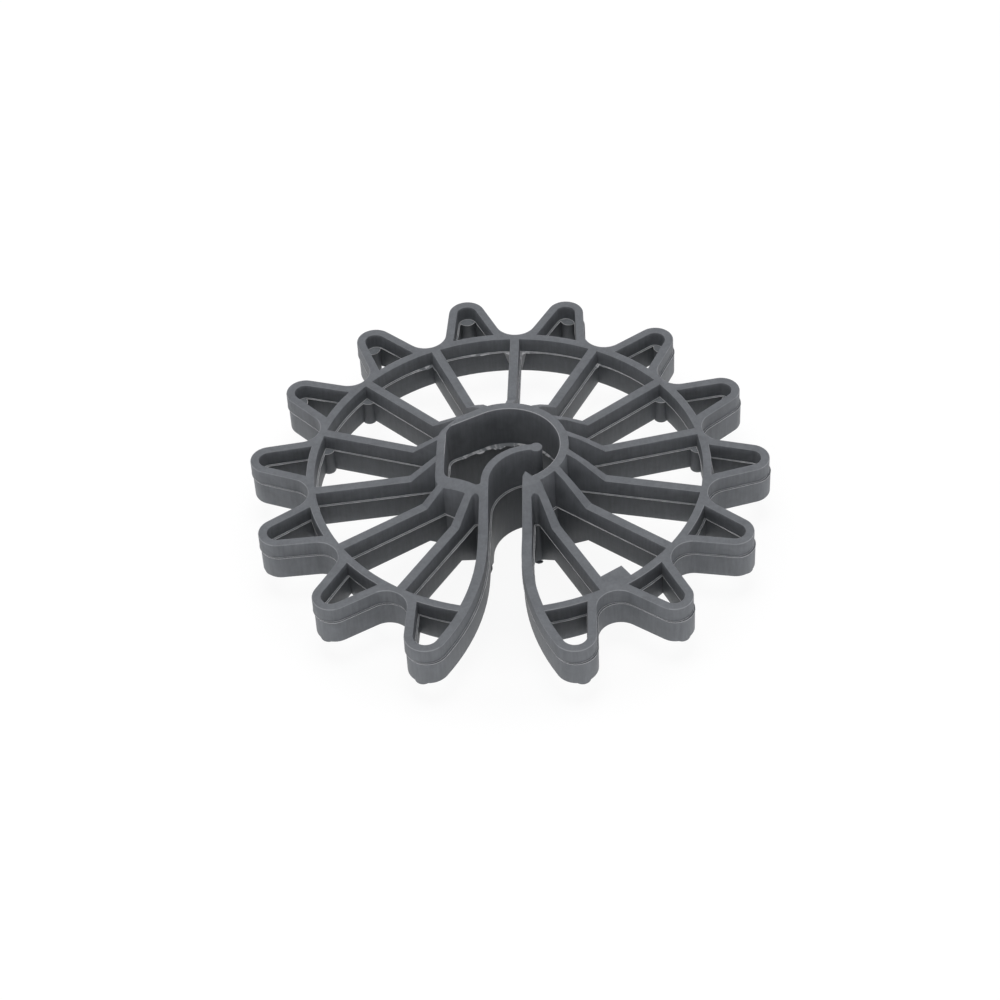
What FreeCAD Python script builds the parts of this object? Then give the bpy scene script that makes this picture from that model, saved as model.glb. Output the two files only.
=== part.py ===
import FreeCAD, Part
import math
import os
import Sketcher

# Rebar wheel spacer: a one-piece plastic wheel that is pushed sideways onto a
# reinforcing bar and keeps the bar at a set distance from the formwork.
# X runs across the slot, Y towards the back spoke, Z along the wheel's axis.
# The slot opens towards -Y and z = 0 is the lower end of the hub.
# Two mould halves meet at a parting plane. Plan sizes are those of the parting
# plane: windows and tooth pockets are drafted and open wider away from it.

SIZES = {
    "outer_radius": 55.0,
    "tooth_pitch": 25.0,
    "tip_round": 4.0,
    "front_tip_round": 4.4,
    "front_tooth_angle": 17.0,
    "valley_radius": 42.5,
    "valley_round": 4.5,
    "tooth_wall": 1.95,
    "ring_inner": 40.85,
    "ring_outer": 42.85,
    "spoke_width": 2.25,
    "slot_half": 3.5,
    "slot_wall": 2.2,
    "flare_start": 24.0,
    "window_round": 0.6,
    "hub_bore": 11.0,
    "hub_wall": 2.2,
    "hub_left": 13.0,
    "hub_low": 13.45,
    "hub_corner": 2.5,
    "notch_round": 0.7,
    "tongue_radius": 9.2,
    "tongue_wall": 1.65,
    "tongue_drop": 10.85,
    "bead_x": 6.05,
    "bead_drop": 0.85,
    "bead_radius": 1.3,
    "barb_foot": 9.6,
    "barb_x": 4.0,
    "barb_drop": 8.05,
    "rim_above": 3.5,
    "rim_below": 5.6,
    "hub_rise": 6.5,
    "ramp_outer": 20.9,
    "ramp_inner": 13.4,
    "draft_angle": 2.0,
    "mould_shift_x": 0.27,
    "mould_shift_y": 0.3,
    "corner_post_radius": 1.6,
    "corner_post_stub": 0.35,
    "tip_post_radius": 1.75,
    "tip_post_stub": 0.9,
    "tip_post_place": 53.0,
    "gate_near": 1.9,
    "gate_far": 3.8,
    "gate_depth": 3.2,
    "gate_angle": 53.5,
    "blank_radius": 57.0,
    "closing_radius": 62.0,
}

doc = FreeCAD.newDocument("wheel_spacer")
sheet = doc.addObject("Spreadsheet::Sheet", "sizes")
for row, (alias, value) in enumerate(SIZES.items(), start=1):
    sheet.set("A%d" % row, alias)
    sheet.set("B%d" % row, str(value))
    sheet.setAlias("B%d" % row, alias)
doc.recompute()

# Sizes that follow from the sheet.
HALF_PITCH = "(sizes.tooth_pitch / 2)"
TIP_CENTRE = "(sizes.outer_radius - sizes.tip_round)"
VALLEY_CENTRE = "(sizes.valley_radius + sizes.valley_round)"
HALF_SPOKE = "(sizes.spoke_width / 2)"
HUB_OUTER = "(sizes.hub_bore + sizes.hub_wall)"
# The two front teeth, beside the slot, are wider than the rest. Each is measured from
# the slot's middle line, and from the last valley, which lies six pitches from the back spoke.
FRONT_TOOTH = "(sizes.front_tooth_angle)"
FRONT_STEP = f"(180 - 6 * sizes.tooth_pitch - {FRONT_TOOTH})"
FRONT_TIP_CENTRE = "(sizes.outer_radius - sizes.front_tip_round)"
FRONT_TIP_X = f"({FRONT_TIP_CENTRE} * sin{FRONT_TOOTH})"
FRONT_TIP_DROP = f"({FRONT_TIP_CENTRE} * cos{FRONT_TOOTH})"
# The flare is the arc that is tangent to the slot's face and to the front tooth's tip.
FLARE_REACH = "(sizes.slot_half + sizes.front_tip_round)"
FLARE_FALL = f"({FRONT_TIP_DROP} - sizes.flare_start)"
FLARE_CENTRE = (
    f"(({FRONT_TIP_X} ^ 2 + {FLARE_FALL} ^ 2 - {FLARE_REACH} ^ 2)"
    f" / (2 * ({FRONT_TIP_X} - {FLARE_REACH})))"
)

# Sketcher's numbers for the origin, the vertical axis and the points of an element.
ORIGIN = (-1, 1)
VERTICAL_AXIS = -2
START, END, CENTRE = 1, 2, 3


def number(expression):
    return float(sheet.evalExpression(expression))


def polar(radius, clock):
    """A point at an angle measured clockwise from +Y, in degrees."""
    turn = math.radians(clock)
    return FreeCAD.Vector(radius * math.sin(turn), radius * math.cos(turn), 0)


def angle_of(centre, point):
    return math.atan2(point.y - centre.y, point.x - centre.x)


def origin_feature(body, role):
    return next(item for item in body.Origin.OriginFeatures if item.Role == role)


def new_sketch(body, name, role="XY_Plane", clock=None):
    """A sketch on an origin plane, turned clockwise by an expression in degrees."""
    sketch = body.newObject("Sketcher::SketchObject", name)
    sketch.AttachmentSupport = [(origin_feature(body, role), "")]
    sketch.MapMode = "FlatFace"
    if clock:
        sketch.setExpression("AttachmentOffset.Rotation.Angle", f"-{clock}")
    return sketch


def add_line(sketch, start, end, construction=False):
    return sketch.addGeometry(Part.LineSegment(start, end), construction)


def add_arc(sketch, centre, start, end):
    """An arc that runs counter-clockwise from start to end, seen from +Z."""
    circle = Part.Circle(centre, FreeCAD.Vector(0, 0, 1), (start - centre).Length)
    arc = Part.ArcOfCircle(circle, angle_of(centre, start), angle_of(centre, end))
    return sketch.addGeometry(arc)


def rule(sketch, kind, *items):
    sketch.addConstraint(Sketcher.Constraint(kind, *items))


def bind(sketch, kind, items, expression):
    constraint = Sketcher.Constraint(kind, *items, number(expression))
    index = sketch.addConstraint(constraint)
    sketch.setExpression(f"Constraints[{index}]", expression)


def place(sketch, item, x=None, y=None):
    """Ties a point to the sheet by its distances from the origin."""
    if x:
        bind(sketch, "DistanceX", (*ORIGIN, *item), x)
    if y:
        bind(sketch, "DistanceY", (*ORIGIN, *item), y)


def add_ray(sketch, clock, radius):
    """A construction line from the origin at a clockwise angle."""
    ray = add_line(sketch, FreeCAD.Vector(), polar(number(radius), number(clock)), True)
    rule(sketch, "Coincident", ray, START, *ORIGIN)
    place(sketch, (ray, END), f"{radius} * sin{clock}", f"{radius} * cos{clock}")
    return ray


def add_guide_circle(sketch, clock, centre_radius, radius):
    """A construction circle whose centre lies at a clockwise angle from the back spoke."""
    centre = polar(number(centre_radius), number(clock))
    axis = FreeCAD.Vector(0, 0, 1)
    guide = sketch.addGeometry(Part.Circle(centre, axis, number(radius)), True)
    x = f"{centre_radius} * sin{clock}"
    y = f"{centre_radius} * cos{clock}"
    place(sketch, (guide, CENTRE), x, y)
    bind(sketch, "Radius", (guide,), radius)
    return guide


def crossing_tangent(first, first_radius, second, second_radius, side):
    """Where a line that passes between two circles touches each of them."""
    span = second - first
    lean = math.acos((first_radius + second_radius) / span.Length) * side
    turn = math.atan2(span.y, span.x) + lean
    normal = FreeCAD.Vector(math.cos(turn), math.sin(turn), 0)
    return first + normal * first_radius, second - normal * second_radius


def circles_meet(first, first_radius, second, second_radius):
    """Where two circles cross, on the left of the way from the first to the second."""
    span = second - first
    along = (span.Length ** 2 + first_radius ** 2 - second_radius ** 2) / (2 * span.Length)
    aside = math.sqrt(first_radius ** 2 - along ** 2)
    axis = FreeCAD.Vector(span).normalize()
    return first + axis * along + FreeCAD.Vector(-axis.y, axis.x, 0) * aside


def add_pad(body, sketch, name, length):
    pad = body.newObject("PartDesign::Pad", name)
    pad.Profile = sketch
    pad.setExpression("Length", length)
    return pad


def add_cut(body, sketch, name):
    """A pocket through the whole half, on the side where the half lies."""
    cut = body.newObject("PartDesign::Pocket", name)
    cut.Profile = sketch
    cut.Type = "ThroughAll"
    cut.Reversed = True
    return cut


def add_polar_pattern(body, feature, name, count):
    """Copies a feature counter-clockwise at the tooth pitch."""
    pattern = body.newObject("PartDesign::PolarPattern", name)
    pattern.Originals = [feature]
    pattern.Axis = (origin_feature(body, "Z_Axis"), [""])
    pattern.Occurrences = count
    pattern.setExpression("Angle", f"sizes.tooth_pitch * {count - 1}")
    body.Tip = pattern
    return pattern


def add_mirror(body, feature, name):
    """Copies a feature to the other side of the slot."""
    mirror = body.newObject("PartDesign::Mirrored", name)
    mirror.Originals = [feature]
    mirror.MirrorPlane = (origin_feature(body, "YZ_Plane"), [""])
    body.Tip = mirror
    return mirror


def draw_blank(body):
    sketch = new_sketch(body, "blank_outline")
    axis = FreeCAD.Vector(0, 0, 1)
    circle = Part.Circle(FreeCAD.Vector(), axis, number("sizes.blank_radius"))
    blank = sketch.addGeometry(circle)
    rule(sketch, "Coincident", blank, CENTRE, *ORIGIN)
    bind(sketch, "Radius", (blank,), "sizes.blank_radius")
    return sketch


def draw_gap(body, name, clock, right_step, right_centre, right_radius):
    """The space between two teeth, from the tip of one to the tip of the next.

    The right tooth is given by its angle from the valley, the distance of its tip's centre
    and the radius of its tip. The left one is always a plain tooth.
    """
    sketch = new_sketch(body, name, clock=clock)
    left_step = f"(-1 * {HALF_PITCH})"
    valley = polar(number(VALLEY_CENTRE), 0)
    right_clock = number(right_step)
    left_clock = number(left_step)
    tip_right = polar(number(right_centre), right_clock)
    tip_left = polar(number(TIP_CENTRE), left_clock)
    low_right, high_right = crossing_tangent(
        valley, number("sizes.valley_round"), tip_right, number(right_radius), -1
    )
    low_left, high_left = crossing_tangent(
        valley, number("sizes.valley_round"), tip_left, number("sizes.tip_round"), 1
    )
    apex_right = polar(number("sizes.outer_radius"), right_clock)
    apex_left = polar(number("sizes.outer_radius"), left_clock)
    out_right = polar(number("sizes.closing_radius"), right_clock)
    out_left = polar(number("sizes.closing_radius"), left_clock)

    floor = add_arc(sketch, valley, low_left, low_right)
    flank_right = add_line(sketch, low_right, high_right)
    round_right = add_arc(sketch, tip_right, apex_right, high_right)
    side_right = add_line(sketch, apex_right, out_right)
    outside = add_line(sketch, out_right, out_left)
    side_left = add_line(sketch, out_left, apex_left)
    round_left = add_arc(sketch, tip_left, high_left, apex_left)
    flank_left = add_line(sketch, high_left, low_left)

    rule(sketch, "PointOnObject", floor, CENTRE, VERTICAL_AXIS)
    place(sketch, (floor, CENTRE), y=VALLEY_CENTRE)
    bind(sketch, "Radius", (floor,), "sizes.valley_round")
    bind(sketch, "Radius", (round_right,), right_radius)
    bind(sketch, "Radius", (round_left,), "sizes.tip_round")
    rule(sketch, "Tangent", floor, END, flank_right, START)
    rule(sketch, "Tangent", flank_right, END, round_right, END)
    rule(sketch, "Tangent", floor, START, flank_left, END)
    rule(sketch, "Tangent", flank_left, START, round_left, START)
    rule(sketch, "Coincident", round_right, START, side_right, START)
    rule(sketch, "Coincident", side_right, END, outside, START)
    rule(sketch, "Coincident", outside, END, side_left, START)
    rule(sketch, "Coincident", side_left, END, round_left, END)
    for tip, apex, corner, step, centre in (
        (round_right, START, START, right_step, right_centre),
        (round_left, END, END, left_step, TIP_CENTRE),
    ):
        place(sketch, (tip, CENTRE), f"{centre} * sin{step}", f"{centre} * cos{step}")
        place(sketch, (tip, apex), x=f"sizes.outer_radius * sin{step}")
        closing_x = f"sizes.closing_radius * sin{step}"
        place(sketch, (outside, corner), closing_x, f"sizes.closing_radius * cos{step}")
    return sketch


def draw_valley(body):
    clock = "(5 * sizes.tooth_pitch)"
    return draw_gap(body, "valley_outline", clock, HALF_PITCH, TIP_CENTRE, "sizes.tip_round")


def draw_front_valley(body):
    clock = "(6 * sizes.tooth_pitch)"
    name = "front_valley_outline"
    return draw_gap(body, name, clock, FRONT_STEP, FRONT_TIP_CENTRE, "sizes.front_tip_round")


def draw_window(body):
    """The opening between two spokes, from the hub's wall to the ring."""
    sketch = new_sketch(body, "window_outline", clock="(5.5 * sizes.tooth_pitch)")
    half = number(HALF_PITCH)
    inset = number(HALF_SPOKE)

    def corner(radius, side):
        length = math.sqrt(radius ** 2 - inset ** 2)
        return polar(length, side * half) + polar(inset, side * (half - 90))

    ring = number("sizes.ring_inner")
    hub = number(HUB_OUTER)
    outer = add_arc(sketch, FreeCAD.Vector(), corner(ring, 1), corner(ring, -1))
    left = add_line(sketch, corner(ring, -1), corner(hub, -1))
    inner = add_arc(sketch, FreeCAD.Vector(), corner(hub, 1), corner(hub, -1))
    right = add_line(sketch, corner(hub, 1), corner(ring, 1))

    for arc, radius in ((outer, "sizes.ring_inner"), (inner, HUB_OUTER)):
        rule(sketch, "Coincident", arc, CENTRE, *ORIGIN)
        bind(sketch, "Radius", (arc,), radius)
    rule(sketch, "Coincident", outer, END, left, START)
    rule(sketch, "Coincident", left, END, inner, END)
    rule(sketch, "Coincident", inner, START, right, START)
    rule(sketch, "Coincident", right, END, outer, START)
    for side, clock in ((right, HALF_PITCH), (left, f"(-1 * {HALF_PITCH})")):
        ray = add_ray(sketch, clock, "sizes.ring_inner")
        rule(sketch, "Parallel", side, ray)
        bind(sketch, "Distance", (side, START, ray), HALF_SPOKE)
    return sketch


def draw_tooth_pocket(body):
    """The hollow of a tooth: one wall inside the tooth's outline and the ring."""
    sketch = new_sketch(body, "tooth_pocket_outline", clock="(5.5 * sizes.tooth_pitch)")
    tip_radius = "(sizes.tip_round - sizes.tooth_wall)"
    guide_radius = "(sizes.valley_round + sizes.tooth_wall)"
    tip = polar(number(TIP_CENTRE), 0)
    half = number(HALF_PITCH)
    valley_right = polar(number(VALLEY_CENTRE), half)
    valley_left = polar(number(VALLEY_CENTRE), -half)
    low_right, high_right = crossing_tangent(
        valley_right, number(guide_radius), tip, number(tip_radius), 1
    )
    low_left, high_left = crossing_tangent(
        valley_left, number(guide_radius), tip, number(tip_radius), -1
    )
    base_right = polar(number("sizes.ring_outer"), math.degrees(math.atan2(low_right.x, low_right.y)))
    base_left = polar(number("sizes.ring_outer"), math.degrees(math.atan2(low_left.x, low_left.y)))

    end = add_arc(sketch, tip, high_right, high_left)
    left = add_line(sketch, high_left, base_left)
    base = add_arc(sketch, FreeCAD.Vector(), base_right, base_left)
    right = add_line(sketch, base_right, high_right)

    rule(sketch, "PointOnObject", end, CENTRE, VERTICAL_AXIS)
    place(sketch, (end, CENTRE), y=TIP_CENTRE)
    bind(sketch, "Radius", (end,), tip_radius)
    rule(sketch, "Coincident", base, CENTRE, *ORIGIN)
    bind(sketch, "Radius", (base,), "sizes.ring_outer")
    rule(sketch, "Tangent", end, END, left, START)
    rule(sketch, "Tangent", right, END, end, START)
    rule(sketch, "Coincident", left, END, base, END)
    rule(sketch, "Coincident", base, START, right, START)
    for side, clock in ((right, HALF_PITCH), (left, f"(-1 * {HALF_PITCH})")):
        guide = add_guide_circle(sketch, clock, VALLEY_CENTRE, guide_radius)
        rule(sketch, "Tangent", side, guide)
    return sketch


def draw_front_pocket(body):
    """The hollow of the right front tooth, bounded by the flared wall of the slot."""
    sketch = new_sketch(body, "front_pocket_outline")
    tip_radius = "(sizes.front_tip_round - sizes.tooth_wall)"
    guide_radius = "(sizes.valley_round + sizes.tooth_wall)"
    tip = FreeCAD.Vector(number(FRONT_TIP_X), -number(FRONT_TIP_DROP), 0)
    valley = polar(number(VALLEY_CENTRE), 6 * number("sizes.tooth_pitch"))
    flare = FreeCAD.Vector(number(FLARE_CENTRE), -number("sizes.flare_start"), 0)
    low, high = crossing_tangent(valley, number(guide_radius), tip, number(tip_radius), -1)
    base_right = low * (number("sizes.ring_outer") / low.Length)
    reach = (tip - flare).Length + number(tip_radius)
    touch = flare + (tip - flare).normalize() * reach
    base_left = circles_meet(flare, reach, FreeCAD.Vector(), number("sizes.ring_outer"))

    flank = add_line(sketch, high, base_right)
    base = add_arc(sketch, FreeCAD.Vector(), base_left, base_right)
    wall = add_arc(sketch, flare, base_left, touch)
    end = add_arc(sketch, tip, touch, high)

    place(sketch, (end, CENTRE), FRONT_TIP_X, f"-1 * {FRONT_TIP_DROP}")
    bind(sketch, "Radius", (end,), tip_radius)
    rule(sketch, "Coincident", base, CENTRE, *ORIGIN)
    bind(sketch, "Radius", (base,), "sizes.ring_outer")
    place(sketch, (wall, CENTRE), FLARE_CENTRE, "-1 * sizes.flare_start")
    rule(sketch, "Tangent", wall, END, end, START)
    rule(sketch, "Tangent", end, END, flank, START)
    rule(sketch, "Coincident", flank, END, base, END)
    rule(sketch, "Coincident", base, START, wall, START)
    guide = add_guide_circle(sketch, "(6 * sizes.tooth_pitch)", VALLEY_CENTRE, guide_radius)
    rule(sketch, "Tangent", flank, guide)
    return sketch


def draw_front_window(body):
    """The narrow opening between the right front spoke and the wall of the slot."""
    sketch = new_sketch(body, "front_window_outline")
    wall_x = number("sizes.slot_half + sizes.slot_wall")
    round_radius = number("sizes.window_round")
    ring = number("sizes.ring_inner")
    clock = 6 * number("sizes.tooth_pitch")
    inset = polar(number(HALF_SPOKE), clock + 90)
    flare = FreeCAD.Vector(number(FLARE_CENTRE), -number("sizes.flare_start"), 0)
    beyond = polar(number(HALF_SPOKE) + round_radius, clock + 90)
    along = (wall_x + round_radius - beyond.x) / polar(1, clock).x
    round_centre = polar(along, clock) + beyond
    spoke_touch = round_centre + polar(round_radius, clock - 90)
    wall_touch = round_centre - FreeCAD.Vector(round_radius, 0, 0)
    wall_end = FreeCAD.Vector(wall_x, flare.y, 0)
    ring_left = circles_meet(flare, flare.x - wall_x, FreeCAD.Vector(), ring)
    ring_right = polar(math.sqrt(ring ** 2 - number(HALF_SPOKE) ** 2), clock) + inset

    spoke = add_line(sketch, ring_right, spoke_touch)
    end = add_arc(sketch, round_centre, spoke_touch, wall_touch)
    wall = add_line(sketch, wall_touch, wall_end)
    curve = add_arc(sketch, flare, wall_end, ring_left)
    rim = add_arc(sketch, FreeCAD.Vector(), ring_left, ring_right)

    rule(sketch, "Coincident", rim, CENTRE, *ORIGIN)
    bind(sketch, "Radius", (rim,), "sizes.ring_inner")
    ray = add_ray(sketch, "(6 * sizes.tooth_pitch)", "sizes.ring_inner")
    rule(sketch, "Parallel", spoke, ray)
    bind(sketch, "Distance", (spoke, START, ray), HALF_SPOKE)
    bind(sketch, "Radius", (end,), "sizes.window_round")
    rule(sketch, "Vertical", wall)
    place(sketch, (wall, END), "sizes.slot_half + sizes.slot_wall", "-1 * sizes.flare_start")
    place(sketch, (curve, CENTRE), x=FLARE_CENTRE)
    rule(sketch, "Tangent", spoke, END, end, START)
    rule(sketch, "Tangent", end, END, wall, START)
    rule(sketch, "Tangent", wall, END, curve, START)
    rule(sketch, "Coincident", curve, END, rim, START)
    rule(sketch, "Coincident", rim, END, spoke, START)
    return sketch


def draw_hub_side(body):
    """The squared left side of the hub, out to its outer faces."""
    sketch = new_sketch(body, "hub_side_outline")
    outer_left = "(sizes.hub_left + sizes.hub_wall)"
    outer_low = "(sizes.hub_low + sizes.hub_wall)"
    corner = number("sizes.hub_corner + sizes.hub_wall")
    hub = number(HUB_OUTER)
    left_x = -number(outer_left)
    top = polar(hub, -30)
    low = polar(number(outer_low), -150)
    along_top = polar(1, -120)
    along_low = polar(1, -60)
    top_corner = top + along_top * ((left_x - top.x) / along_top.x)
    low_corner = low + along_low * ((left_x - low.x) / along_low.x)
    setback = corner * math.tan(math.radians(30))
    down = FreeCAD.Vector(0, -1, 0)
    inward = FreeCAD.Vector(corner, 0, 0)
    top_line = add_line(sketch, top, top_corner - along_top * setback)
    top_round = add_arc(
        sketch,
        top_corner + down * setback + inward,
        top_corner - along_top * setback,
        top_corner + down * setback,
    )
    left = add_line(sketch, top_corner + down * setback, low_corner - down * setback)
    low_round = add_arc(
        sketch,
        low_corner - down * setback + inward,
        low_corner - down * setback,
        low_corner - along_low * setback,
    )
    low_line = add_line(sketch, low_corner - along_low * setback, low)
    low_side = add_line(sketch, low, FreeCAD.Vector())
    top_side = add_line(sketch, FreeCAD.Vector(), top)

    place(sketch, (top_line, START), f"-{HUB_OUTER} * sin(30)", f"{HUB_OUTER} * cos(30)")
    rule(sketch, "Perpendicular", top_line, top_side)
    rule(sketch, "Tangent", top_line, END, top_round, START)
    rule(sketch, "Tangent", top_round, END, left, START)
    rule(sketch, "Vertical", left)
    place(sketch, (left, END), x=f"-1 * {outer_left}")
    rule(sketch, "Tangent", left, END, low_round, START)
    rule(sketch, "Tangent", low_round, END, low_line, START)
    rule(sketch, "Perpendicular", low_line, low_side)
    place(sketch, (low_line, END), f"-{outer_low} * sin(30)", f"-{outer_low} * cos(30)")
    rule(sketch, "Coincident", low_line, END, low_side, START)
    rule(sketch, "Coincident", low_side, END, *ORIGIN)
    rule(sketch, "Coincident", top_side, START, *ORIGIN)
    rule(sketch, "Coincident", top_side, END, top_line, START)
    bind(sketch, "Radius", (top_round,), "sizes.hub_corner + sizes.hub_wall")
    bind(sketch, "Radius", (low_round,), "sizes.hub_corner + sizes.hub_wall")
    return sketch


def draw_slot(body):
    """The slot, its flared mouth and the space inside the hub around the tongue."""
    sketch = new_sketch(body, "slot_outline")
    half = number("sizes.slot_half")
    start_y = -number("sizes.flare_start")
    tip_clock = 180 - number(FRONT_TOOTH)
    tip_right = polar(number(FRONT_TIP_CENTRE), tip_clock)
    tip_left = polar(number(FRONT_TIP_CENTRE), -tip_clock)
    apex_right = polar(number("sizes.outer_radius"), tip_clock)
    apex_left = polar(number("sizes.outer_radius"), -tip_clock)
    out_right = polar(number("sizes.closing_radius"), tip_clock)
    out_left = polar(number("sizes.closing_radius"), -tip_clock)
    flare_right = FreeCAD.Vector(number(FLARE_CENTRE), start_y, 0)
    flare_left = FreeCAD.Vector(-number(FLARE_CENTRE), start_y, 0)
    tip_round = number("sizes.front_tip_round")
    touch_right = tip_right + (tip_right - flare_right).normalize() * tip_round
    touch_left = tip_left + (tip_left - flare_left).normalize() * tip_round
    slot_right = FreeCAD.Vector(half, start_y, 0)
    slot_left = FreeCAD.Vector(-half, start_y, 0)

    hub = number("sizes.hub_bore")
    barb_foot = FreeCAD.Vector(half, -number("sizes.barb_foot"), 0)
    barb_tip = FreeCAD.Vector(number("sizes.barb_x"), -number("sizes.barb_drop"), 0)
    hub_start = polar(hub, 150)
    hub_end = polar(hub, -30)

    corner = number("sizes.hub_corner")
    left_x = -number("sizes.hub_left")
    along_top = polar(1, -120)
    along_low = polar(1, 120)
    down = FreeCAD.Vector(0, -1, 0)
    inward = FreeCAD.Vector(corner, 0, 0)
    top_corner = hub_end + along_top * ((left_x - hub_end.x) / along_top.x)
    low_foot = polar(number("sizes.hub_low"), -150)
    low_corner = low_foot + along_low * ((left_x - low_foot.x) / along_low.x)
    setback = corner * math.tan(math.radians(30))

    tongue_radius = number("sizes.tongue_radius")
    back_radius = number("sizes.tongue_radius + sizes.tongue_wall")
    tongue = FreeCAD.Vector(tongue_radius - half, -number("sizes.tongue_drop"), 0)
    root_back = tongue - FreeCAD.Vector(back_radius, 0, 0)
    root_front = tongue - FreeCAD.Vector(tongue_radius, 0, 0)
    notch = number("sizes.notch_round")
    notch_corner = low_foot + along_low * ((root_back.x - low_foot.x) / along_low.x)
    notch_setback = notch / math.tan(math.radians(30))
    notch_low = notch_corner - along_low * notch_setback
    notch_high = notch_corner - down * notch_setback
    notch_centre = notch_high - FreeCAD.Vector(notch, 0, 0)
    bead = FreeCAD.Vector(number("sizes.bead_x"), -number("sizes.bead_drop"), 0)
    bead_radius = number("sizes.bead_radius")

    bead_back = circles_meet(tongue, back_radius, bead, bead_radius)
    bead_front = circles_meet(tongue, tongue_radius, bead, bead_radius)

    right_round = add_arc(sketch, tip_right, touch_right, apex_right)
    right_flare = add_arc(sketch, flare_right, slot_right, touch_right)
    right_face = add_line(sketch, slot_right, barb_foot)
    barb_face = add_line(sketch, barb_foot, barb_tip)
    barb_back = add_line(sketch, barb_tip, hub_start)
    bore = add_arc(sketch, FreeCAD.Vector(), hub_start, hub_end)
    top_line = add_line(sketch, hub_end, top_corner - along_top * setback)
    top_round = add_arc(
        sketch,
        top_corner + down * setback + inward,
        top_corner - along_top * setback,
        top_corner + down * setback,
    )
    left = add_line(sketch, top_corner + down * setback, low_corner - down * setback)
    low_round = add_arc(
        sketch,
        low_corner - down * setback + inward,
        low_corner - down * setback,
        low_corner + along_low * setback,
    )
    low_line = add_line(sketch, low_corner + along_low * setback, notch_low)
    notch_arc = add_arc(sketch, notch_centre, notch_low, notch_high)
    root = add_line(sketch, notch_high, root_back)
    back = add_arc(sketch, tongue, bead_back, root_back)
    bead_arc = add_arc(sketch, bead, bead_front, bead_back)
    front = add_arc(sketch, tongue, bead_front, root_front)
    left_face = add_line(sketch, root_front, slot_left)
    left_flare = add_arc(sketch, flare_left, touch_left, slot_left)
    left_round = add_arc(sketch, tip_left, apex_left, touch_left)
    left_side = add_line(sketch, apex_left, out_left)
    outside = add_line(sketch, out_left, out_right)
    right_side = add_line(sketch, out_right, apex_right)

    tangents = (
        (right_round, START, right_flare, END),
        (right_flare, START, right_face, START),
        (bore, END, top_line, START),
        (top_line, END, top_round, START),
        (top_round, END, left, START),
        (left, END, low_round, START),
        (low_round, END, low_line, START),
        (low_line, END, notch_arc, START),
        (notch_arc, END, root, START),
        (root, END, back, END),
        (front, END, left_face, START),
        (left_face, END, left_flare, END),
        (left_flare, START, left_round, END),
    )
    for joint in tangents:
        rule(sketch, "Tangent", *joint)
    corners = (
        (right_face, END, barb_face, START),
        (barb_face, END, barb_back, START),
        (barb_back, END, bore, START),
        (back, START, bead_arc, END),
        (bead_arc, START, front, START),
        (left_round, START, left_side, START),
        (left_side, END, outside, START),
        (outside, END, right_side, START),
        (right_side, END, right_round, END),
    )
    for joint in corners:
        rule(sketch, "Coincident", *joint)
    for face in (right_face, left, root, left_face):
        rule(sketch, "Vertical", face)

    place(sketch, (right_round, CENTRE), FRONT_TIP_X, f"-1 * {FRONT_TIP_DROP}")
    place(sketch, (left_round, CENTRE), f"-1 * {FRONT_TIP_X}", f"-1 * {FRONT_TIP_DROP}")
    bind(sketch, "Radius", (right_round,), "sizes.front_tip_round")
    bind(sketch, "Radius", (left_round,), "sizes.front_tip_round")
    place(sketch, (right_round, END), x=f"sizes.outer_radius * sin{FRONT_TOOTH}")
    place(sketch, (left_round, START), x=f"-sizes.outer_radius * sin{FRONT_TOOTH}")
    closing_x = f"sizes.closing_radius * sin{FRONT_TOOTH}"
    closing_y = f"-sizes.closing_radius * cos{FRONT_TOOTH}"
    place(sketch, (outside, START), f"-{closing_x}", closing_y)
    place(sketch, (outside, END), closing_x, closing_y)
    place(sketch, (right_face, START), "sizes.slot_half", "-1 * sizes.flare_start")
    place(sketch, (left_face, END), "-1 * sizes.slot_half", "-1 * sizes.flare_start")

    place(sketch, (right_face, END), y="-1 * sizes.barb_foot")
    place(sketch, (barb_face, END), "sizes.barb_x", "-1 * sizes.barb_drop")
    rule(sketch, "Coincident", bore, CENTRE, *ORIGIN)
    bind(sketch, "Radius", (bore,), "sizes.hub_bore")
    place(sketch, (bore, START), x="sizes.hub_bore * sin(30)")
    place(sketch, (bore, END), x="-sizes.hub_bore * sin(30)")
    place(sketch, (left, END), x="-1 * sizes.hub_left")
    bind(sketch, "Radius", (top_round,), "sizes.hub_corner")
    bind(sketch, "Radius", (low_round,), "sizes.hub_corner")
    bind(sketch, "Radius", (notch_arc,), "sizes.notch_round")
    ray = add_ray(sketch, "(-150)", "sizes.hub_low")
    rule(sketch, "Perpendicular", low_line, ray)
    rule(sketch, "PointOnObject", ray, END, low_line)

    bind(sketch, "Radius", (front,), "sizes.tongue_radius")
    bind(sketch, "Radius", (back,), "sizes.tongue_radius + sizes.tongue_wall")
    rule(sketch, "Coincident", back, CENTRE, front, CENTRE)
    place(sketch, (front, CENTRE), y="-1 * sizes.tongue_drop")
    place(sketch, (bead_arc, CENTRE), "sizes.bead_x", "-1 * sizes.bead_drop")
    bind(sketch, "Radius", (bead_arc,), "sizes.bead_radius")
    return sketch


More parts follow.
